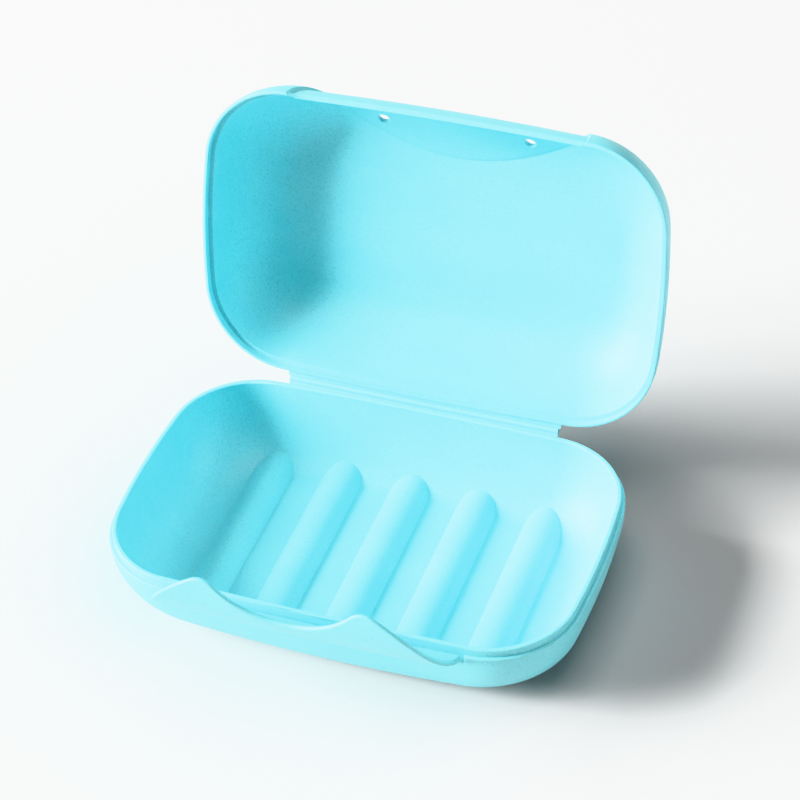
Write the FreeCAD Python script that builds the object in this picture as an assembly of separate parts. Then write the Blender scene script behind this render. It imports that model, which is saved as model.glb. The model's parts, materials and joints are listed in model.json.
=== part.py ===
import FreeCAD, Part
import math
import os

os.makedirs("parts", exist_ok=True)

# Travel soap box: a tray, a lid on a rear fold hinge and a latch flap on a front fold hinge.
# Millimetres. The origin is the middle of the tray's underside, X runs along the length,
# Y points to the hinge at the back, and Z is up.

# Plan of the box at the parting line
box_length = 112.0
box_width = 72.1
corner_radius = 20.4
long_side_radius = 1040.0
end_side_radius = 195.0

# Tray
tray_depth = 19.3
tray_inset = 12.0
tray_foot_roundness = 0.83
tray_foot_side_radius = 220.0
wall = 1.93
floor_thickness = 1.8

# Lap joint around the rim: a lip on the tray stands inside a thin skirt on the lid
lip_height = 2.0
ledge_width = 0.8
lap_side_clearance = 0.2
lap_height_clearance = 0.12
lip_rounding = 0.35
rim_rounding = 0.3

# Drain ridges on the tray floor
ridge_count = 5
ridge_pitch = 17.0
ridge_width = 9.8
ridge_height = 3.0

# Lid
lid_depth = 21.0
lid_inset = 16.0
lid_crown_roundness = 0.8
lid_crown_side_radius = 300.0
lid_wall = 1.6
lid_open_angle = 104.0

# Rear fold hinge
hinge_width = 67.8
hinge_standoff = 1.68
hinge_rise = 0.9
hinge_roll_radius = 0.85
hinge_web = 0.72
hinge_running_clearance = 0.1
hinge_fold_gap = 4.5
hinge_end_setback = 0.5

# Smile-shaped recess in the lid's front and the flap that lies in it
recess_radius = 45.0
recess_half_width = 36.0
recess_depth = 0.75
recess_bulge = 0.3
flap_edge_clearance = 0.7
flap_face_clearance = 0.2
flap_thickness = 1.3
flap_open_angle = 61.0
flap_root_drop = 0.65
flap_root_clearance = 0.05
notch_radius = 22.5
notch_bottom = 5.4
lobe_rounding = 4.6
flap_edge_rounding = 0.45

# Two nubs on the flap and the holes they click into
nub_spacing = 35.6
nub_slope_angle = 66.0
nub_radius = 0.9
nub_tip_radius = 0.5
nub_height = 1.6
hole_radius = 1.5

section_count = 8
height_tolerance = 0.001
half_length = box_length / 2
half_width = box_width / 2
axis_x = FreeCAD.Vector(1, 0, 0)
axis_z = FreeCAD.Vector(0, 0, 1)


def arc_edge(centre, radius, start, end, z):
    """Arc in a level plane, given by its centre, radius and two directions in radians."""
    points = []
    for share in (0.0, 0.5, 1.0):
        angle = start + (end - start) * share
        x = centre[0] + radius * math.cos(angle)
        y = centre[1] + radius * math.sin(angle)
        points.append(FreeCAD.Vector(x, y, z))
    return Part.Arc(*points).toShape()


def plan_wire(half_x, half_y, corner, side_radius, offset, z):
    """Rounded oblong of eight tangent arcs: bowed sides, bowed ends and round corners."""
    long_centre = half_y - side_radius
    end_centre = half_x - end_side_radius
    # The corner circle touches the side arc and the end arc from inside
    apart = math.hypot(end_centre, long_centre)
    reach_long = side_radius - corner
    reach_end = end_side_radius - corner
    along = (reach_long ** 2 - reach_end ** 2 + apart ** 2) / (2 * apart)
    across = math.sqrt(reach_long ** 2 - along ** 2)
    unit_x = end_centre / apart
    unit_y = -long_centre / apart
    corner_x = along * unit_x + across * abs(unit_y)
    corner_y = long_centre + along * unit_y + across * abs(unit_x)
    join_long = math.atan2(corner_y - long_centre, corner_x)
    join_end = math.atan2(corner_y, corner_x - end_centre)
    turn = math.pi
    edges = [
        arc_edge((end_centre, 0), end_side_radius + offset, -join_end, join_end, z),
        arc_edge((corner_x, corner_y), corner + offset, join_end, join_long, z),
        arc_edge((0, long_centre), side_radius + offset, join_long, turn - join_long, z),
        arc_edge((-corner_x, corner_y), corner + offset, turn - join_long, turn - join_end, z),
        arc_edge((-end_centre, 0), end_side_radius + offset, turn - join_end, turn + join_end, z),
        arc_edge((-corner_x, -corner_y), corner + offset, turn + join_end, turn + join_long, z),
        arc_edge((0, -long_centre), side_radius + offset, turn + join_long, 2 * turn - join_long, z),
        arc_edge((corner_x, -corner_y), corner + offset, -join_long, -join_end, z),
    ]
    return Part.Wire(edges)


def rim_prism(offset, low, high):
    """Upright block with the plan of the rim, grown by offset."""
    face = Part.Face(plan_wire(half_length, half_width, corner_radius, long_side_radius, offset, low))
    return face.extrude(FreeCAD.Vector(0, 0, high - low))


def dome(form, direction, grow, skin):
    """Bowl with an elliptical wall, from the parting line down (-1) or up (+1).

    grow moves the wall outwards and skin moves the flat end outwards.
    """
    depth, inset, roundness, flat_side_radius = form
    end_corner = roundness * (half_width - inset)
    wires = []
    for index in range(section_count + 1):
        angle = math.pi / 2 * index / section_count
        drawn_in = 1 - math.cos(angle)
        taper = (inset + grow) * drawn_in
        corner = corner_radius + (end_corner - corner_radius) * drawn_in
        bow = (1 - drawn_in) / long_side_radius + drawn_in / flat_side_radius
        z = tray_depth + direction * (depth + skin) * math.sin(angle)
        wires.append(plan_wire(half_length - taper, half_width - taper, corner, 1 / bow, grow, z))
    return Part.makeLoft(wires, True, False)


def tray_dome(grow, skin):
    """Bowl of the tray, grown by grow at the wall and skin at the floor."""
    form = (tray_depth, tray_inset, tray_foot_roundness, tray_foot_side_radius)
    return dome(form, -1, grow, skin)


def lid_dome(grow, skin):
    """Dome of the lid in its closed place, grown by grow at the wall and skin at the crown."""
    form = (lid_depth, lid_inset, lid_crown_roundness, lid_crown_side_radius)
    return dome(form, 1, grow, skin)


def edges_at(shape, z):
    """Edges of a shape that lie level at a height."""
    level = []
    for edge in shape.Edges:
        box = edge.BoundBox
        if abs(box.ZMin - z) < height_tolerance and abs(box.ZMax - z) < height_tolerance:
            level.append(edge)
    return level


def upright_edges(shape):
    """Edges of a cut prism that stand upright where two of its walls meet."""
    upright = []
    for edge in shape.Edges:
        box = edge.BoundBox
        if box.XLength + box.YLength < height_tolerance and abs(box.Center.x) > notch_bottom:
            upright.append(edge)
    return upright


def rising_edges(shape):
    """Edges of a shape that are not level."""
    return [edge for edge in shape.Edges if edge.BoundBox.ZLength > height_tolerance]


def upright_cylinder(radius, y):
    """Cylinder through the whole height of the box, centred on the middle plane."""
    low = -tray_depth
    high = 3 * (tray_depth + lid_depth)
    return Part.makeCylinder(radius, high - low, FreeCAD.Vector(0, y, low), axis_z)


def strip(start, end, thickness, width):
    """Flat strip between two points of the side view, as wide as given along X."""
    run = FreeCAD.Vector(0, end[0] - start[0], end[1] - start[1])
    side = FreeCAD.Vector(0, -run.z, run.y)
    side.normalize()
    side.multiply(thickness / 2)
    first = FreeCAD.Vector(-width / 2, start[0], start[1])
    corners = [first + side, first - side, first - side + run, first + side + run]
    face = Part.Face(Part.makePolygon(corners + [corners[0]]))
    return face.extrude(FreeCAD.Vector(width, 0, 0))


def roll(point, radius, width):
    """Round bar along X through a point of the side view."""
    start = FreeCAD.Vector(-width / 2, point[0], point[1])
    return Part.makeCylinder(radius, width, start, axis_x)


def around(point, angle, distance):
    """Point of the side view at an angle, measured from the back towards the top."""
    y = point[0] + distance * math.cos(math.radians(angle))
    z = point[1] + distance * math.sin(math.radians(angle))
    return (y, z)


lid_axis = (half_width + hinge_standoff, tray_depth + hinge_rise)
flap_inner = recess_depth - flap_face_clearance
flap_outer = flap_thickness - flap_inner
flap_axis = (-half_width - flap_outer + flap_thickness / 2, tray_depth - flap_root_drop)
recess_centre = -half_width - math.sqrt(recess_radius ** 2 - recess_half_width ** 2)
lip_top = tray_depth + lip_height

# Tray: bowl and lip, hollowed, with the ridges fused to the floor
tray_bowl = tray_dome(0, 0)
tray_bowl = tray_bowl.makeFillet(rim_rounding, edges_at(tray_bowl, tray_depth))
tray_hollow = tray_dome(-wall, -floor_thickness)
lip = rim_prism(-ledge_width, tray_depth - wall, lip_top)
mouth = rim_prism(-wall, tray_depth, lip_top + wall)
lip = lip.cut(mouth)
lip = lip.makeFillet(lip_rounding, edges_at(lip, lip_top))
tray = tray_bowl.fuse(lip).cut(tray_hollow.fuse(mouth))

ridge_bed = tray_dome(-wall / 2, -floor_thickness / 2)
ridge_round = ((ridge_width / 2) ** 2 + ridge_height ** 2) / (2 * ridge_height)
for index in range(ridge_count):
    ridge_x = (index - (ridge_count - 1) / 2) * ridge_pitch
    start = FreeCAD.Vector(ridge_x, -half_width, floor_thickness + ridge_height - ridge_round)
    ridge = Part.makeCylinder(ridge_round, box_width, start, FreeCAD.Vector(0, 1, 0))
    tray = tray.fuse(ridge.common(ridge_bed))

# Rear of the tray: a thin web, flush under the ledge, carries the hinge roll
edge_y = half_width - lid_axis[0]
edge_z = tray_depth - lid_axis[1]
edge_reach = math.hypot(edge_y, edge_z)
web_tilt = math.asin(hinge_web / 2 / edge_reach)
tray_web_angle = math.degrees(math.atan2(edge_z, edge_y) + 2 * math.pi + web_tilt)
tray_web_foot = around(lid_axis, tray_web_angle, edge_reach + wall)
tray_roll_width = hinge_width - 2 * hinge_end_setback
tray_web = strip(tray_web_foot, lid_axis, hinge_web, tray_roll_width)
tray_roll = roll(lid_axis, hinge_roll_radius, tray_roll_width)
tray = tray.fuse([tray_web, tray_roll])

# Front of the tray: the ledge is cut away where the root of the flap lies against the lip
recess_side = upright_cylinder(recess_radius, recess_centre)
seat_low = flap_axis[1] - flap_thickness / 2 - flap_root_clearance
seat_ring = rim_prism(wall, seat_low, lip_top).cut(rim_prism(-ledge_width, seat_low, lip_top))
tray = tray.cut(seat_ring.common(recess_side))

# Lid, drawn closed: a domed shell with the smile-shaped recess pressed into its front
lid_outside = lid_dome(0, 0)
rim_gap = rim_prism(wall, tray_depth - wall, tray_depth + lap_height_clearance)
lid_outside = lid_outside.cut(rim_gap)
lid_outside = lid_outside.makeFillet(
    rim_rounding, edges_at(lid_outside, tray_depth + lap_height_clearance))
lid_inside = lid_dome(-lid_wall, -lid_wall)
pressed_outside = lid_dome(-recess_depth, -recess_depth)
pressed_inside = lid_dome(-lid_wall - recess_bulge, -lid_wall - recess_bulge)
lid_outside = lid_outside.cut(recess_side.cut(pressed_outside))
lid_inside = lid_inside.cut(recess_side.cut(pressed_inside))
lid = lid_outside.cut(lid_inside)

# Rear of the lid: a thin web bears on the hinge roll
roll_room = hinge_roll_radius + hinge_running_clearance
web_spread = math.degrees(2 * math.asin(hinge_web / 2 / roll_room))
lid_web_angle = tray_web_angle - web_spread - hinge_fold_gap
lid_web_root = around(lid_axis, lid_web_angle, hinge_standoff + wall)
lid_web = strip(lid_web_root, lid_axis, hinge_web, hinge_width)
lid = lid.fuse(lid_web.cut(roll(lid_axis, roll_room, hinge_width)))

# The rim of the lid is thinned to a skirt that laps over the lip of the tray
skirt = ledge_width - lap_side_clearance
lid = lid.cut(rim_prism(-skirt, tray_depth - wall, lip_top + lap_height_clearance))

# Flap, drawn latched: a segment of the lid's front with two lobes and a thumb notch between them
flap_skin = lid_dome(flap_outer, flap_outer).cut(lid_dome(-flap_inner, -flap_inner))
flap_root = rim_prism(flap_outer, flap_axis[1], tray_depth).cut(
    rim_prism(-flap_inner, flap_axis[1], tray_depth))
flap_radius = recess_radius - flap_edge_clearance
notch_centre = notch_bottom - half_width + notch_radius
flap_plan = upright_cylinder(flap_radius, recess_centre).cut(
    upright_cylinder(notch_radius, notch_centre))
flap_plan = flap_plan.makeFillet(lobe_rounding, upright_edges(flap_plan))
flap = flap_skin.fuse(flap_root).common(flap_plan).removeSplitter().Solids[0]
flap = flap.makeFillet(flap_edge_rounding, rising_edges(flap))
flap_roll_half = math.sqrt(flap_radius ** 2 - (flap_axis[0] - recess_centre) ** 2)
flap_roll = roll(flap_axis, flap_thickness / 2, 2 * flap_roll_half)
flap = flap.fuse(flap_roll)

# Nubs behind the lobes and the holes they click into, square to the front of the lid
slope = math.radians(nub_slope_angle)
across_front = lid_inset - flap_inner
up_front = lid_depth - flap_inner
nub_y = -half_width + flap_inner + across_front * (1 - math.cos(slope))
nub_z = tray_depth + up_front * math.sin(slope)
inward = FreeCAD.Vector(0, math.cos(slope) / across_front, -math.sin(slope) / up_front)
inward.normalize()
for side in (-1, 1):
    seat = FreeCAD.Vector(side * nub_spacing / 2, nub_y, nub_z)
    inside_flap = seat - inward * (flap_thickness / 2)
    nub = Part.makeCone(
        nub_radius, nub_tip_radius, nub_height + flap_thickness / 2, inside_flap, inward)
    flap = flap.fuse(nub)
    hole_reach = flap_thickness + lid_wall + recess_depth + nub_height
    hole = Part.makeCylinder(hole_radius, hole_reach, seat - inward * flap_thickness, inward)
    lid = lid.cut(hole)

# Both moving pieces are stored open
lid.rotate(FreeCAD.Vector(0, *lid_axis), axis_x, -lid_open_angle)
flap.rotate(FreeCAD.Vector(0, *flap_axis), axis_x, flap_open_angle)

tray.exportStep("parts/base_tray.step")
lid.exportStep("parts/lid.step")
flap.exportStep("parts/latch_flap.step")
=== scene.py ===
"""Looks of a pocket soap box: satin moulded plastic on tray, lid and latch flap, on a pale studio floor."""

import json
import math

import bpy
from bpy.props import FloatProperty, FloatVectorProperty, PointerProperty
from mathutils import Matrix, Vector


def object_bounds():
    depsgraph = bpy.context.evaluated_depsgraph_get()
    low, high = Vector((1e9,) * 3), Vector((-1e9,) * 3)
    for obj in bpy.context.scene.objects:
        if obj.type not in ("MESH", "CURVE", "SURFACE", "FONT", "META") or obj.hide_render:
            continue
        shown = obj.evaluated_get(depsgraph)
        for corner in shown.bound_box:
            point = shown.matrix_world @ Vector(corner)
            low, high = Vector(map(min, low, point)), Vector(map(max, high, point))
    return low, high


bl_info = {
    "name": "Soap Box Finish",
    "version": (1, 0, 0),
    "blender": (4, 5, 0),
    "location": "View3D > Sidebar > Soap Box",
    "description": "Dresses a hinged soap box in satin moulded plastic and sets it on a studio floor",
    "category": "Material",
}

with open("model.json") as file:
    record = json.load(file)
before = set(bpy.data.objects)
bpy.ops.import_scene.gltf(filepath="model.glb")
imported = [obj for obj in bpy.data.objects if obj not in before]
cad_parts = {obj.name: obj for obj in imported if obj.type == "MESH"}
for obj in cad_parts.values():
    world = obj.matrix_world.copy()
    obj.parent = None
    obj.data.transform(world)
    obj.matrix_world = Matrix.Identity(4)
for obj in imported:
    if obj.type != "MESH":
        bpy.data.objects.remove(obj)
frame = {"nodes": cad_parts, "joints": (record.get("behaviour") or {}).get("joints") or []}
cad_low, cad_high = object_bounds()

# Traits of the plastic that are not for tuning: light (the reach in red, green and blue), pits with their
# painted shade, and ripple
PLASTIC_IOR = 1.49
SCATTER_REACH = (0.6, 1.0, 1.1)
PIT_BRIM = 0.55
PIT_BOTTOM = 0.30
PIT_SHADE = 0.8
PIT_STRENGTH = 0.9
RIPPLE_STRENGTH = 0.25

# Traits of the paper floor, lengths in metres
PAPER_ROUGHNESS = 0.9
TOOTH_SIZE = 0.0008
TOOTH_DEPTH = 0.00005
TOOTH_STRENGTH = 0.1
FLOOR_HALF = 2.4

# Lamps and camera, lengths in metres except the sensor
LAMP_DISTANCE = 2.7
SENSOR_WIDTH_MM = 36.0
CLIP_NEAR = 0.01
CLIP_FAR = 20.0


# Settings


class SoapBoxPlastic(bpy.types.PropertyGroup):
    """The one batch of plastic that all three pieces are moulded from."""

    tint: FloatVectorProperty(
        name="Tint",
        description="Colour of the plastic where the pigment lies even",
        subtype="COLOR",
        size=3,
        min=0.0,
        max=1.0,
        default=(0.222, 0.662, 0.722),
    )
    deep_tint: FloatVectorProperty(
        name="Deep Tint",
        description="Colour where the pigment has flowed together",
        subtype="COLOR",
        size=3,
        min=0.0,
        max=1.0,
        default=(0.196, 0.634, 0.702),
    )
    # Paler colour along the edges: partly wear, partly a painted highlight on the edges
    rub_and_highlight_tint: FloatVectorProperty(
        name="Rubbed Tint",
        description="Paler colour along edges that hands and cloth have rubbed",
        subtype="COLOR",
        size=3,
        min=0.0,
        max=1.0,
        default=(0.300, 0.714, 0.766),
    )
    # Painted shade: darker colour in the bottoms of the etched pits and along the crease of the lid's
    # recess
    pit_shade_tint: FloatVectorProperty(
        name="Pit Tint",
        description="Darker colour at the bottom of the etched pits",
        subtype="COLOR",
        size=3,
        min=0.0,
        max=1.0,
        default=(0.160, 0.560, 0.630),
    )
    cloud_size: FloatProperty(
        name="Cloud Size",
        description="Width of the faint clouds of pigment",
        subtype="DISTANCE",
        unit="LENGTH",
        min=0.0001,
        default=0.012,
        precision=4,
    )
    ripple_size: FloatProperty(
        name="Ripple Size",
        description="Width of the slow waves that the cooling wall keeps",
        subtype="DISTANCE",
        unit="LENGTH",
        min=0.0001,
        default=0.009,
        precision=4,
    )
    ripple_depth: FloatProperty(
        name="Ripple Depth",
        description="Depth of those waves",
        subtype="DISTANCE",
        unit="LENGTH",
        min=0.0,
        default=0.0001,
        precision=5,
    )
    rub_width: FloatProperty(
        name="Rub Width",
        description="How far from an edge the rubbing reaches",
        subtype="DISTANCE",
        unit="LENGTH",
        min=0.0,
        default=0.0006,
        precision=5,
    )
    rub_patch: FloatProperty(
        name="Rub Patch",
        description="Width of the patches that break up the rubbing",
        subtype="DISTANCE",
        unit="LENGTH",
        min=0.0001,
        default=0.004,
        precision=4,
    )
    polish: FloatProperty(
        name="Polish",
        description="Roughness that the rubbing takes away",
        subtype="FACTOR",
        min=0.0,
        max=1.0,
        default=0.10,
    )
    gloss_change: FloatProperty(
        name="Gloss Change",
        description="Change in roughness from the bottom of a pit to the top of the grain",
        subtype="FACTOR",
        min=0.0,
        max=1.0,
        default=0.16,
    )
    translucency: FloatProperty(
        name="Translucency",
        description="Share of the light that scatters inside the wall",
        subtype="FACTOR",
        min=0.0,
        max=1.0,
        default=0.12,
    )
    scatter_depth: FloatProperty(
        name="Scatter Depth",
        description="How far light wanders inside the wall",
        subtype="DISTANCE",
        unit="LENGTH",
        min=0.0,
        default=0.0006,
        precision=5,
    )


class PieceFinish:
    """Settings that each piece has for itself."""

    roughness: FloatProperty(
        name="Roughness",
        description="Mean roughness of the moulded surface",
        subtype="FACTOR",
        min=0.0,
        max=1.0,
        default=0.46,
    )
    grain_size: FloatProperty(
        name="Grain Size",
        description="Width of the pits that the etched mould leaves",
        subtype="DISTANCE",
        unit="LENGTH",
        min=0.00001,
        default=0.00045,
        precision=5,
    )
    grain_depth: FloatProperty(
        name="Grain Depth",
        description="Depth of those pits",
        subtype="DISTANCE",
        unit="LENGTH",
        min=0.0,
        default=0.00006,
        precision=6,
    )
    # Strength of the paler, smoother edges: partly wear, partly a painted highlight
    wear: FloatProperty(
        name="Wear",
        description="How strongly the edges are rubbed",
        subtype="FACTOR",
        min=0.0,
        max=1.0,
        default=0.5,
    )
    # Share by which every colour of the piece is made darker
    darkening: FloatProperty(
        name="Darkening",
        description="Share of the brightness that handling has taken from the colour",
        subtype="FACTOR",
        min=0.0,
        max=1.0,
        default=0.0,
    )


class SoapBoxTray(PieceFinish, bpy.types.PropertyGroup):
    """Finish of the ribbed tray."""


class SoapBoxLid(PieceFinish, bpy.types.PropertyGroup):
    """Finish of the domed lid, and the smile-shaped recess pressed into its front."""

    recess_radius: FloatProperty(
        name="Recess Radius",
        description="Radius of the smile that bounds the recess, seen from above the shut box",
        subtype="DISTANCE",
        unit="LENGTH",
        min=0.0,
        default=0.045,
        precision=4,
    )
    recess_centre: FloatProperty(
        name="Recess Centre",
        description="Place of the smile's centre along Y while the box is shut",
        subtype="DISTANCE",
        unit="LENGTH",
        default=-0.06305,
        precision=5,
    )
    recess_foot: FloatProperty(
        name="Recess Foot",
        description="Height of the lap at the rim, above which the recess slopes, while the box is shut",
        subtype="DISTANCE",
        unit="LENGTH",
        min=0.0,
        default=0.0216,
        precision=4,
    )
    recess_slope: FloatProperty(
        name="Recess Slope",
        description="Length of the flat slope from the edge of the recess to the rim",
        subtype="DISTANCE",
        unit="LENGTH",
        min=0.0,
        default=0.018,
        precision=4,
    )
    recess_swell: FloatProperty(
        name="Recess Swell",
        description="How far that slope seems to stand in from the wall at the rim",
        subtype="DISTANCE",
        unit="LENGTH",
        min=0.0,
        default=0.0095,
        precision=5,
    )
    # Reach of the painted shade along the recess's edge
    recess_crease_shade: FloatProperty(
        name="Recess Crease",
        description="Reach of the dark crease on each side of the recess's edge",
        subtype="DISTANCE",
        unit="LENGTH",
        min=0.00001,
        default=0.0006,
        precision=5,
    )


class SoapBoxFlap(PieceFinish, bpy.types.PropertyGroup):
    """Finish of the latch flap, which fingers touch most."""

    # The flap's colours are made darker by this share; the other pieces keep theirs
    darkening: FloatProperty(
        name="Darkening",
        description="Share of the brightness that handling has taken from the colour",
        subtype="FACTOR",
        min=0.0,
        max=1.0,
        default=0.09,
    )


class SoapBoxStage(bpy.types.PropertyGroup):
    """Floor, lamps and camera."""

    floor_tint: FloatVectorProperty(
        name="Floor Tint",
        description="Colour of the paper floor",
        subtype="COLOR",
        size=3,
        min=0.0,
        max=1.0,
        default=(0.44, 0.44, 0.44),
    )
    key_power: FloatProperty(
        name="Key Power",
        description="Power of the soft lamp low on the left",
        unit="POWER",
        min=0.0,
        default=690.0,
    )
    key_bearing: FloatProperty(
        name="Key Bearing",
        description="Turn of the key lamp from straight in front towards the right",
        subtype="ANGLE",
        default=math.radians(-73.0),
    )
    key_height: FloatProperty(
        name="Key Height",
        description="Angle of the key lamp above the floor",
        subtype="ANGLE",
        default=math.radians(20.0),
    )
    key_width: FloatProperty(
        name="Key Width",
        description="Side of the square key lamp",
        subtype="DISTANCE",
        unit="LENGTH",
        min=0.01,
        default=1.65,
    )
    top_power: FloatProperty(
        name="Top Power",
        description="Power of the soft lamp overhead",
        unit="POWER",
        min=0.0,
        default=43.0,
    )
    top_height: FloatProperty(
        name="Top Height",
        description="Angle of the overhead lamp above the floor in front",
        subtype="ANGLE",
        default=math.radians(85.0),
    )
    top_width: FloatProperty(
        name="Top Width",
        description="Side of the square overhead lamp",
        subtype="DISTANCE",
        unit="LENGTH",
        min=0.01,
        default=1.8,
    )
    rim_power: FloatProperty(
        name="Rim Power",
        description="Power of the weak lamp low on the right",
        unit="POWER",
        min=0.0,
        default=34.0,
    )
    rim_bearing: FloatProperty(
        name="Rim Bearing",
        description="Turn of the rim lamp from straight in front towards the right",
        subtype="ANGLE",
        default=math.radians(100.0),
    )
    rim_height: FloatProperty(
        name="Rim Height",
        description="Angle of the rim lamp above the floor",
        subtype="ANGLE",
        default=math.radians(18.0),
    )
    rim_width: FloatProperty(
        name="Rim Width",
        description="Side of the square rim lamp",
        subtype="DISTANCE",
        unit="LENGTH",
        min=0.01,
        default=1.5,
    )
    room_light: FloatProperty(
        name="Room Light",
        description="Strength of the even light from the white room",
        min=0.0,
        default=0.012,
    )
    backdrop_light: FloatProperty(
        name="Backdrop Light",
        description="Brightness of the white room where the view goes past the floor",
        min=0.0,
        default=1.1,
    )
    lens: FloatProperty(
        name="Lens",
        description="Focal length on a sensor 36 mm wide",
        unit="CAMERA",
        min=1.0,
        default=121.647,
    )
    camera_place: FloatVectorProperty(
        name="Camera Place",
        description="Where the camera stands",
        subtype="XYZ",
        unit="LENGTH",
        size=3,
        default=(0.178025, -0.404093, 0.443087),
    )
    camera_yaw: FloatProperty(
        name="Camera Yaw",
        description="Turn of the view to the left of straight back",
        subtype="ANGLE",
        default=math.radians(22.584),
    )
    camera_dip: FloatProperty(
        name="Camera Dip",
        description="Angle of the view below level",
        subtype="ANGLE",
        default=math.radians(41.475),
    )
    camera_roll: FloatProperty(
        name="Camera Roll",
        description="Tilt of the camera about its own line of sight",
        subtype="ANGLE",
        default=math.radians(-4.081),
    )


class SoapBoxSettings(bpy.types.PropertyGroup):
    """Everything that the panel shows."""

    plastic: PointerProperty(name="Plastic", description="The plastic of all pieces", type=SoapBoxPlastic)
    tray: PointerProperty(name="Tray", description="The tray's own finish", type=SoapBoxTray)
    lid: PointerProperty(name="Lid", description="The lid's own finish", type=SoapBoxLid)
    flap: PointerProperty(name="Flap", description="The flap's own finish", type=SoapBoxFlap)
    stage: PointerProperty(name="Stage", description="Floor, lamps and camera", type=SoapBoxStage)


# Shared surface effects


def new_effect(name, inputs, outputs):
    """An empty node group with float sockets, and its entry and exit nodes."""
    tree = bpy.data.node_groups.new(name, "ShaderNodeTree")
    for socket_name, default in inputs.items():
        socket = tree.interface.new_socket(socket_name, in_out="INPUT", socket_type="NodeSocketFloat")
        socket.default_value = default
    for socket_name in outputs:
        tree.interface.new_socket(socket_name, in_out="OUTPUT", socket_type="NodeSocketFloat")
    return tree, tree.nodes.new("NodeGroupInput"), tree.nodes.new("NodeGroupOutput")


def math_node(tree, operation, *operands):
    """Output of a Math node whose operands, one or two, are sockets or numbers."""
    node = tree.nodes.new("ShaderNodeMath")
    node.operation = operation
    for slot, value in enumerate(operands):
        if isinstance(value, bpy.types.NodeSocket):
            tree.links.new(value, node.inputs[slot])
        else:
            node.inputs[slot].default_value = value
    return node.outputs["Value"]


def noise_node(tree, size, detail, stretch=(1.0, 1.0, 1.0)):
    """Output of a noise on the piece's own coordinates, with lumps as wide as the size socket says."""
    place = tree.nodes.new("ShaderNodeTexCoord").outputs["Object"]
    stretched = tree.nodes.new("ShaderNodeVectorMath")
    stretched.operation = "MULTIPLY"
    stretched.inputs[1].default_value = stretch
    tree.links.new(place, stretched.inputs[0])
    noise = tree.nodes.new("ShaderNodeTexNoise")
    noise.inputs["Detail"].default_value = detail
    tree.links.new(stretched.outputs["Vector"], noise.inputs["Vector"])
    tree.links.new(math_node(tree, "DIVIDE", 1.0, size), noise.inputs["Scale"])
    return noise.outputs["Fac"]


def spread_node(tree, value, low, high):
    """Output that runs smoothly from 0 to 1 while value runs from low to high."""
    spread = tree.nodes.new("ShaderNodeMapRange")
    spread.interpolation_type = "SMOOTHSTEP"
    spread.inputs["From Min"].default_value = low
    spread.inputs["From Max"].default_value = high
    tree.links.new(value, spread.inputs["Value"])
    return spread.outputs["Result"]


def bump_node(tree, height, distance, strength=1.0, under=None):
    """Normal output of a Bump node, laid over the normal of an earlier bump if there is one."""
    node = tree.nodes.new("ShaderNodeBump")
    node.inputs["Strength"].default_value = strength
    node.inputs["Distance"].default_value = distance
    tree.links.new(height, node.inputs["Height"])
    if under is not None:
        tree.links.new(under, node.inputs["Normal"])
    return node.outputs["Normal"]


def etched_grain():
    """Fine pits of the etched mould: a height, and the change in gloss that goes with it."""
    inputs = {"Pit Size": 0.00045, "Gloss Change": 0.16}
    tree, entry, exit_node = new_effect("Etched Grain", inputs, ("Height", "Gloss"))
    pits = noise_node(tree, entry.outputs["Pit Size"], detail=2.0)
    tree.links.new(pits, exit_node.inputs["Height"])
    centred = math_node(tree, "SUBTRACT", pits, 0.5)
    gloss = math_node(tree, "MULTIPLY", centred, entry.outputs["Gloss Change"])
    tree.links.new(gloss, exit_node.inputs["Gloss"])
    return tree


def pigment_flow():
    """Faint clouds of pigment that follow the melt along the box."""
    tree, entry, exit_node = new_effect("Pigment Flow", {"Cloud Size": 0.012}, ("Cloud",))
    clouds = noise_node(tree, entry.outputs["Cloud Size"], detail=3.0, stretch=(0.55, 1.0, 1.0))
    tree.links.new(spread_node(tree, clouds, low=0.30, high=0.70), exit_node.inputs["Cloud"])
    return tree


def mould_ripple():
    """Slow waviness that a cooling wall keeps, as a height."""
    tree, entry, exit_node = new_effect("Mould Ripple", {"Wave Size": 0.009}, ("Height",))
    waves = noise_node(tree, entry.outputs["Wave Size"], detail=1.0)
    tree.links.new(waves, exit_node.inputs["Height"])
    return tree


def rubbed_edges():
    """Mask that is 1 along edges, broken up as real rubbing is; the materials pale the colour there, partly
    as wear and partly as a painted highlight.
    """
    inputs = {"Edge Width": 0.0006, "Patch Size": 0.004}
    tree, entry, exit_node = new_effect("Rubbed Edges", inputs, ("Mask",))
    rounded = tree.nodes.new("ShaderNodeBevel")
    rounded.samples = 4
    tree.links.new(entry.outputs["Edge Width"], rounded.inputs["Radius"])
    surface = tree.nodes.new("ShaderNodeNewGeometry")
    turned = tree.nodes.new("ShaderNodeVectorMath")
    turned.operation = "DOT_PRODUCT"
    tree.links.new(rounded.outputs["Normal"], turned.inputs[0])
    tree.links.new(surface.outputs["Normal"], turned.inputs[1])
    edge = math_node(tree, "SUBTRACT", 1.0, turned.outputs["Value"])
    lumps = noise_node(tree, entry.outputs["Patch Size"], detail=3.0)
    patches = spread_node(tree, lumps, low=0.35, high=0.65)
    along_edge = spread_node(tree, edge, low=0.01, high=0.16)
    mask = math_node(tree, "MULTIPLY", along_edge, patches)
    tree.links.new(mask, exit_node.inputs["Mask"])
    return tree


def shut_parts(tree, vector, angle, pivot=(0.0, 0.0, 0.0)):
    """The X, Y and Z outputs of a vector of the lid, turned to where it lies on the shut box."""
    shut = tree.nodes.new("ShaderNodeVectorRotate")
    shut.rotation_type = "X_AXIS"
    shut.inputs["Center"].default_value = pivot
    shut.inputs["Angle"].default_value = angle
    tree.links.new(vector, shut.inputs["Vector"])
    parts = tree.nodes.new("ShaderNodeSeparateXYZ")
    tree.links.new(shut.outputs["Vector"], parts.inputs["Vector"])
    return parts.outputs


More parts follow.
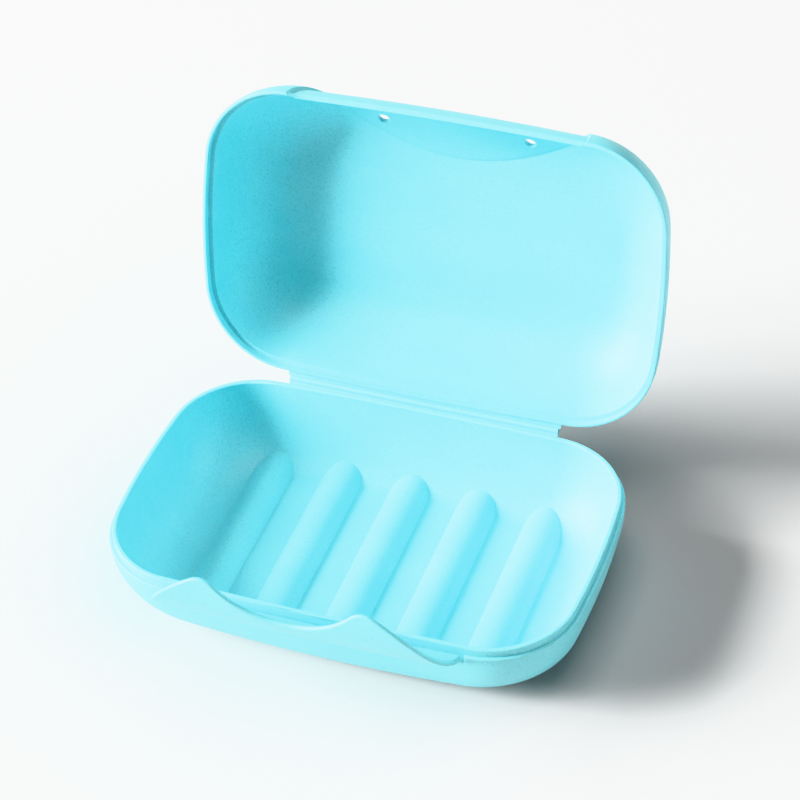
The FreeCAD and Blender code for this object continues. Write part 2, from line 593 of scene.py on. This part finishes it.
def pressed_recess():
    """Flat slope of the latch recess, on the inside of the lid, and a mask for the painted shade along its
    crease.
    """
    inputs = {"Radius": 0.045, "Centre": -0.06305, "Foot": 0.0216, "Slope": 0.018, "Crease Width": 0.0006}
    tree, entry, exit_node = new_effect("Pressed Recess", inputs, ("Height", "Crease"))
    hinge = next(joint for joint in frame["joints"] if joint["name"] == "lid_hinge")
    shut_angle = math.radians(hinge["range_deg"][1])
    surface = tree.nodes.new("ShaderNodeTexCoord")
    place = shut_parts(tree, surface.outputs["Object"], shut_angle, pivot=hinge["pos_m"])
    normal = shut_parts(tree, surface.outputs["Normal"], shut_angle)

    # How far the place lies within the circle of the smile, seen from above
    across = math_node(tree, "POWER", place["X"], 2.0)
    from_centre = math_node(tree, "SUBTRACT", place["Y"], entry.outputs["Centre"])
    ahead = math_node(tree, "POWER", from_centre, 2.0)
    distance = math_node(tree, "SQRT", math_node(tree, "ADD", across, ahead))
    within = math_node(tree, "SUBTRACT", entry.outputs["Radius"], distance)

    # Only faces that look back or down into the box, above the lap at the rim
    facing = math_node(tree, "SUBTRACT", normal["Y"], normal["Z"])
    inward = spread_node(tree, facing, low=0.0, high=0.2)
    above_foot = math_node(tree, "SUBTRACT", place["Z"], entry.outputs["Foot"])
    wall_only = spread_node(tree, above_foot, low=0.0, high=0.0004)
    inside = math_node(tree, "MULTIPLY", inward, wall_only)

    climb = math_node(tree, "DIVIDE", within, entry.outputs["Slope"])
    swell = math_node(tree, "MINIMUM", math_node(tree, "MAXIMUM", climb, 0.0), 1.0)
    tree.links.new(math_node(tree, "MULTIPLY", swell, inside), exit_node.inputs["Height"])
    # Painted shade along the crease, on each side of the recess's edge
    off_edge = math_node(tree, "DIVIDE", within, entry.outputs["Crease Width"])
    crease = spread_node(tree, math_node(tree, "ABSOLUTE", off_edge), low=1.0, high=0.0)
    tree.links.new(math_node(tree, "MULTIPLY", crease, inside), exit_node.inputs["Crease"])
    return tree


def effect(name, build):
    """The node group of that name, built the first time it is asked for."""
    return bpy.data.node_groups.get(name) or build()


def place_effect(tree, group, **values):
    """A node of the shared group in a material's tree, with this material's own values."""
    node = tree.nodes.new("ShaderNodeGroup")
    node.node_tree = group
    for name, value in values.items():
        node.inputs[name.replace("_", " ").title()].default_value = value
    return node


def mix_colour(tree, factor, first, second):
    """Output of a colour mix whose sides are sockets or colours."""
    node = tree.nodes.new("ShaderNodeMix")
    node.data_type = "RGBA"
    tree.links.new(factor, node.inputs["Factor"])
    for name, value in (("A", first), ("B", second)):
        socket = next(s for s in node.inputs if s.name == name and s.type == "RGBA")
        if isinstance(value, bpy.types.NodeSocket):
            tree.links.new(value, socket)
        else:
            socket.default_value = (*value, 1.0)
    return next(s for s in node.outputs if s.type == "RGBA")


# Materials


def satin_plastic(name, plastic, finish):
    """Moulded plastic with pigment clouds, an etched grain with painted shade in its pits, a slow ripple,
    and rubbed edges whose paler colour is partly wear and partly a painted highlight.
    """
    material = bpy.data.materials.new(name)
    material.use_nodes = True
    tree = material.node_tree
    shader = tree.nodes["Principled BSDF"]
    grain = place_effect(
        tree,
        effect("Etched Grain", etched_grain),
        pit_size=finish.grain_size,
        gloss_change=plastic.gloss_change,
    )
    flow = place_effect(tree, effect("Pigment Flow", pigment_flow), cloud_size=plastic.cloud_size)
    ripple = place_effect(tree, effect("Mould Ripple", mould_ripple), wave_size=plastic.ripple_size)
    rubbed = place_effect(
        tree,
        effect("Rubbed Edges", rubbed_edges),
        edge_width=plastic.rub_width,
        patch_size=plastic.rub_patch,
    )
    wear_and_highlight = math_node(tree, "MULTIPLY", rubbed.outputs["Mask"], finish.wear)

    # Every colour is made darker by the piece's darkening share
    tint, deep_tint, pit_shade_tint, rub_and_highlight_tint = (
        [channel * (1.0 - finish.darkening) for channel in colour]
        for colour in (plastic.tint, plastic.deep_tint, plastic.pit_shade_tint, plastic.rub_and_highlight_tint)
    )
    clouded = mix_colour(tree, flow.outputs["Cloud"], tint, deep_tint)
    # Painted shade in the bottoms of the pits
    pit_shade_mask = spread_node(tree, grain.outputs["Height"], low=PIT_BRIM, high=PIT_BOTTOM)
    pit_shaded = mix_colour(tree, math_node(tree, "MULTIPLY", pit_shade_mask, PIT_SHADE), clouded, pit_shade_tint)
    # Paler colour along the edges, partly wear and partly a painted highlight
    tree.links.new(mix_colour(tree, wear_and_highlight, pit_shaded, rub_and_highlight_tint), shader.inputs["Base Color"])

    grained = math_node(tree, "ADD", grain.outputs["Gloss"], finish.roughness)
    polish = math_node(tree, "MULTIPLY", wear_and_highlight, plastic.polish)
    tree.links.new(math_node(tree, "SUBTRACT", grained, polish), shader.inputs["Roughness"])

    waves = bump_node(tree, ripple.outputs["Height"], plastic.ripple_depth, RIPPLE_STRENGTH)
    pits = bump_node(tree, grain.outputs["Height"], finish.grain_depth, PIT_STRENGTH, under=waves)
    tree.links.new(pits, shader.inputs["Normal"])

    shader.inputs["IOR"].default_value = PLASTIC_IOR
    shader.inputs["Subsurface Weight"].default_value = plastic.translucency
    shader.inputs["Subsurface Radius"].default_value = SCATTER_REACH
    shader.inputs["Subsurface Scale"].default_value = plastic.scatter_depth
    return material


def press_recess(material, plastic, lid):
    """Adds the swell of the latch recess to the lid's plastic as a bump, and painted shade along its
    crease.
    """
    tree = material.node_tree
    shader = tree.nodes["Principled BSDF"]
    recess = place_effect(
        tree,
        effect("Pressed Recess", pressed_recess),
        radius=lid.recess_radius,
        centre=lid.recess_centre,
        foot=lid.recess_foot,
        slope=lid.recess_slope,
        crease_width=lid.recess_crease_shade,
    )
    grained = shader.inputs["Normal"].links[0].from_socket
    swell = bump_node(tree, recess.outputs["Height"], lid.recess_swell, under=grained)
    tree.links.new(swell, shader.inputs["Normal"])
    plain = shader.inputs["Base Color"].links[0].from_socket
    # Painted shade along the crease of the recess
    crease_shaded = mix_colour(tree, recess.outputs["Crease"], plain, plastic.pit_shade_tint)
    tree.links.new(crease_shaded, shader.inputs["Base Color"])


def paper_floor(tint):
    """Matt paper with a faint tooth."""
    material = bpy.data.materials.new("paper_floor")
    material.use_nodes = True
    tree = material.node_tree
    shader = tree.nodes["Principled BSDF"]
    tooth = place_effect(tree, effect("Etched Grain", etched_grain), pit_size=TOOTH_SIZE)
    toothed = bump_node(tree, tooth.outputs["Height"], TOOTH_DEPTH, TOOTH_STRENGTH)
    tree.links.new(toothed, shader.inputs["Normal"])
    shader.inputs["Base Color"].default_value = (*tint, 1.0)
    shader.inputs["Roughness"].default_value = PAPER_ROUGHNESS
    return material


def dress(node_name, material):
    """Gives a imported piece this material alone, or stops if there is no such piece."""
    if node_name not in frame["nodes"]:
        raise RuntimeError(f"The packed model has no piece named {node_name}")
    mesh = frame["nodes"][node_name].data
    mesh.materials.clear()
    mesh.materials.append(material)


# Stage


def lay_floor(scene, stage):
    """A square sheet of paper under the box."""
    mesh = bpy.data.meshes.new("paper_floor")
    corners = [(x * FLOOR_HALF, y * FLOOR_HALF, 0.0) for x, y in ((-1, -1), (1, -1), (1, 1), (-1, 1))]
    mesh.from_pydata(corners, [], [(0, 1, 2, 3)])
    mesh.materials.append(paper_floor(stage.floor_tint))
    floor = bpy.data.objects.new("paper_floor", mesh)
    floor.location.z = cad_low.z
    scene.collection.objects.link(floor)


def soft_lamp(scene, name, bearing, height, width, power):
    """A square lamp that looks at the box, at a bearing from the front round to the right."""
    middle = (cad_low + cad_high) / 2
    level = math.cos(height)
    towards = Vector((math.sin(bearing) * level, -math.cos(bearing) * level, math.sin(height)))
    lamp = bpy.data.lights.new(name, "AREA")
    lamp.shape = "SQUARE"
    lamp.size = width
    lamp.energy = power
    lamp_object = bpy.data.objects.new(name, lamp)
    lamp_object.location = middle + LAMP_DISTANCE * towards
    lamp_object.rotation_euler = (-towards).to_track_quat("-Z", "Y").to_euler()
    scene.collection.objects.link(lamp_object)


def light_room(scene, stage):
    """A white room that gives little light and shows bright where the view passes the floor."""
    world = bpy.data.worlds.new("white_room")
    world.use_nodes = True
    tree = world.node_tree
    room = tree.nodes["Background"]
    room.inputs["Color"].default_value = (1.0, 1.0, 1.0, 1.0)
    in_view = tree.nodes.new("ShaderNodeLightPath").outputs["Is Camera Ray"]
    backdrop = math_node(tree, "MULTIPLY", in_view, stage.backdrop_light)
    strength = math_node(tree, "MAXIMUM", backdrop, stage.room_light)
    tree.links.new(strength, room.inputs["Strength"])
    scene.world = world


def camera_matrix(stage):
    """Place and turn of the camera."""
    yaw, dip, roll = stage.camera_yaw, stage.camera_dip, stage.camera_roll
    level = math.cos(dip)
    sight = Vector((-math.sin(yaw) * level, math.cos(yaw) * level, -math.sin(dip)))
    level_right = sight.cross(Vector((0.0, 0.0, 1.0))).normalized()
    level_up = level_right.cross(sight)
    right = math.cos(roll) * level_right + math.sin(roll) * level_up
    up = math.cos(roll) * level_up - math.sin(roll) * level_right
    turn = Matrix((right, up, -sight)).transposed().to_4x4()
    return Matrix.Translation(stage.camera_place) @ turn


def place_camera(scene, stage):
    """The camera that takes the main picture."""
    camera = bpy.data.cameras.new("photo_camera")
    camera.sensor_width = SENSOR_WIDTH_MM
    camera.lens = stage.lens
    camera.clip_start = CLIP_NEAR
    camera.clip_end = CLIP_FAR
    camera_object = bpy.data.objects.new("photo_camera", camera)
    camera_object.matrix_world = camera_matrix(stage)
    scene.collection.objects.link(camera_object)
    scene.camera = camera_object


# Operators


class SOAPBOX_OT_finish_tray(bpy.types.Operator):
    """Dress the ribbed tray in satin plastic"""

    bl_idname = "soapbox.finish_tray"
    bl_label = "Finish Tray"
    bl_options = {"REGISTER", "UNDO"}

    def execute(self, context):
        settings = context.scene.soap_box
        dress("base_tray", satin_plastic("tray_plastic", settings.plastic, settings.tray))
        return {"FINISHED"}


class SOAPBOX_OT_finish_lid(bpy.types.Operator):
    """Dress the domed lid in satin plastic"""

    bl_idname = "soapbox.finish_lid"
    bl_label = "Finish Lid"
    bl_options = {"REGISTER", "UNDO"}

    def execute(self, context):
        settings = context.scene.soap_box
        material = satin_plastic("lid_plastic", settings.plastic, settings.lid)
        press_recess(material, settings.plastic, settings.lid)
        dress("lid", material)
        return {"FINISHED"}


class SOAPBOX_OT_finish_flap(bpy.types.Operator):
    """Dress the latch flap in satin plastic"""

    bl_idname = "soapbox.finish_flap"
    bl_label = "Finish Flap"
    bl_options = {"REGISTER", "UNDO"}

    def execute(self, context):
        settings = context.scene.soap_box
        dress("latch_flap", satin_plastic("flap_plastic", settings.plastic, settings.flap))
        return {"FINISHED"}


class SOAPBOX_OT_set_stage(bpy.types.Operator):
    """Lay the pale floor, hang the soft lamps and place the camera"""

    bl_idname = "soapbox.set_stage"
    bl_label = "Set Stage"
    bl_options = {"REGISTER", "UNDO"}

    def execute(self, context):
        scene = context.scene
        stage = scene.soap_box.stage
        lay_floor(scene, stage)
        soft_lamp(scene, "key_lamp", stage.key_bearing, stage.key_height, stage.key_width, stage.key_power)
        soft_lamp(scene, "top_lamp", 0.0, stage.top_height, stage.top_width, stage.top_power)
        soft_lamp(scene, "rim_lamp", stage.rim_bearing, stage.rim_height, stage.rim_width, stage.rim_power)
        light_room(scene, stage)
        place_camera(scene, stage)
        scene.view_settings.view_transform = "Khronos PBR Neutral"
        return {"FINISHED"}


# Panel and registration


class SOAPBOX_PT_panel(bpy.types.Panel):
    """Steps and settings of the soap box"""

    bl_idname = "SOAPBOX_PT_panel"
    bl_label = "Soap Box"
    bl_space_type = "VIEW_3D"
    bl_region_type = "UI"
    bl_category = "Soap Box"

    def draw(self, context):
        settings = context.scene.soap_box
        steps = (
            (None, settings.plastic),
            (SOAPBOX_OT_finish_tray, settings.tray),
            (SOAPBOX_OT_finish_lid, settings.lid),
            (SOAPBOX_OT_finish_flap, settings.flap),
            (SOAPBOX_OT_set_stage, settings.stage),
        )
        for operator, group in steps:
            box = self.layout.box()
            if operator is not None:
                box.operator(operator.bl_idname)
            for name in group.bl_rna.properties.keys():
                if name not in {"rna_type", "name"}:
                    box.prop(group, name)


CLASSES = (
    SoapBoxPlastic,
    SoapBoxTray,
    SoapBoxLid,
    SoapBoxFlap,
    SoapBoxStage,
    SoapBoxSettings,
    SOAPBOX_OT_finish_tray,
    SOAPBOX_OT_finish_lid,
    SOAPBOX_OT_finish_flap,
    SOAPBOX_OT_set_stage,
    SOAPBOX_PT_panel,
)


def register():
    """Adds the settings, the steps and the panel."""
    for cls in CLASSES:
        bpy.utils.register_class(cls)
    bpy.types.Scene.soap_box = PointerProperty(type=SoapBoxSettings)


def unregister():
    """Takes them away again."""
    del bpy.types.Scene.soap_box
    for cls in reversed(CLASSES):
        bpy.utils.unregister_class(cls)


def main():
    """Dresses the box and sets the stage."""
    register()
    bpy.ops.soapbox.finish_tray()
    bpy.ops.soapbox.finish_lid()
    bpy.ops.soapbox.finish_flap()
    bpy.ops.soapbox.set_stage()


if __name__ == "__main__":
    main()
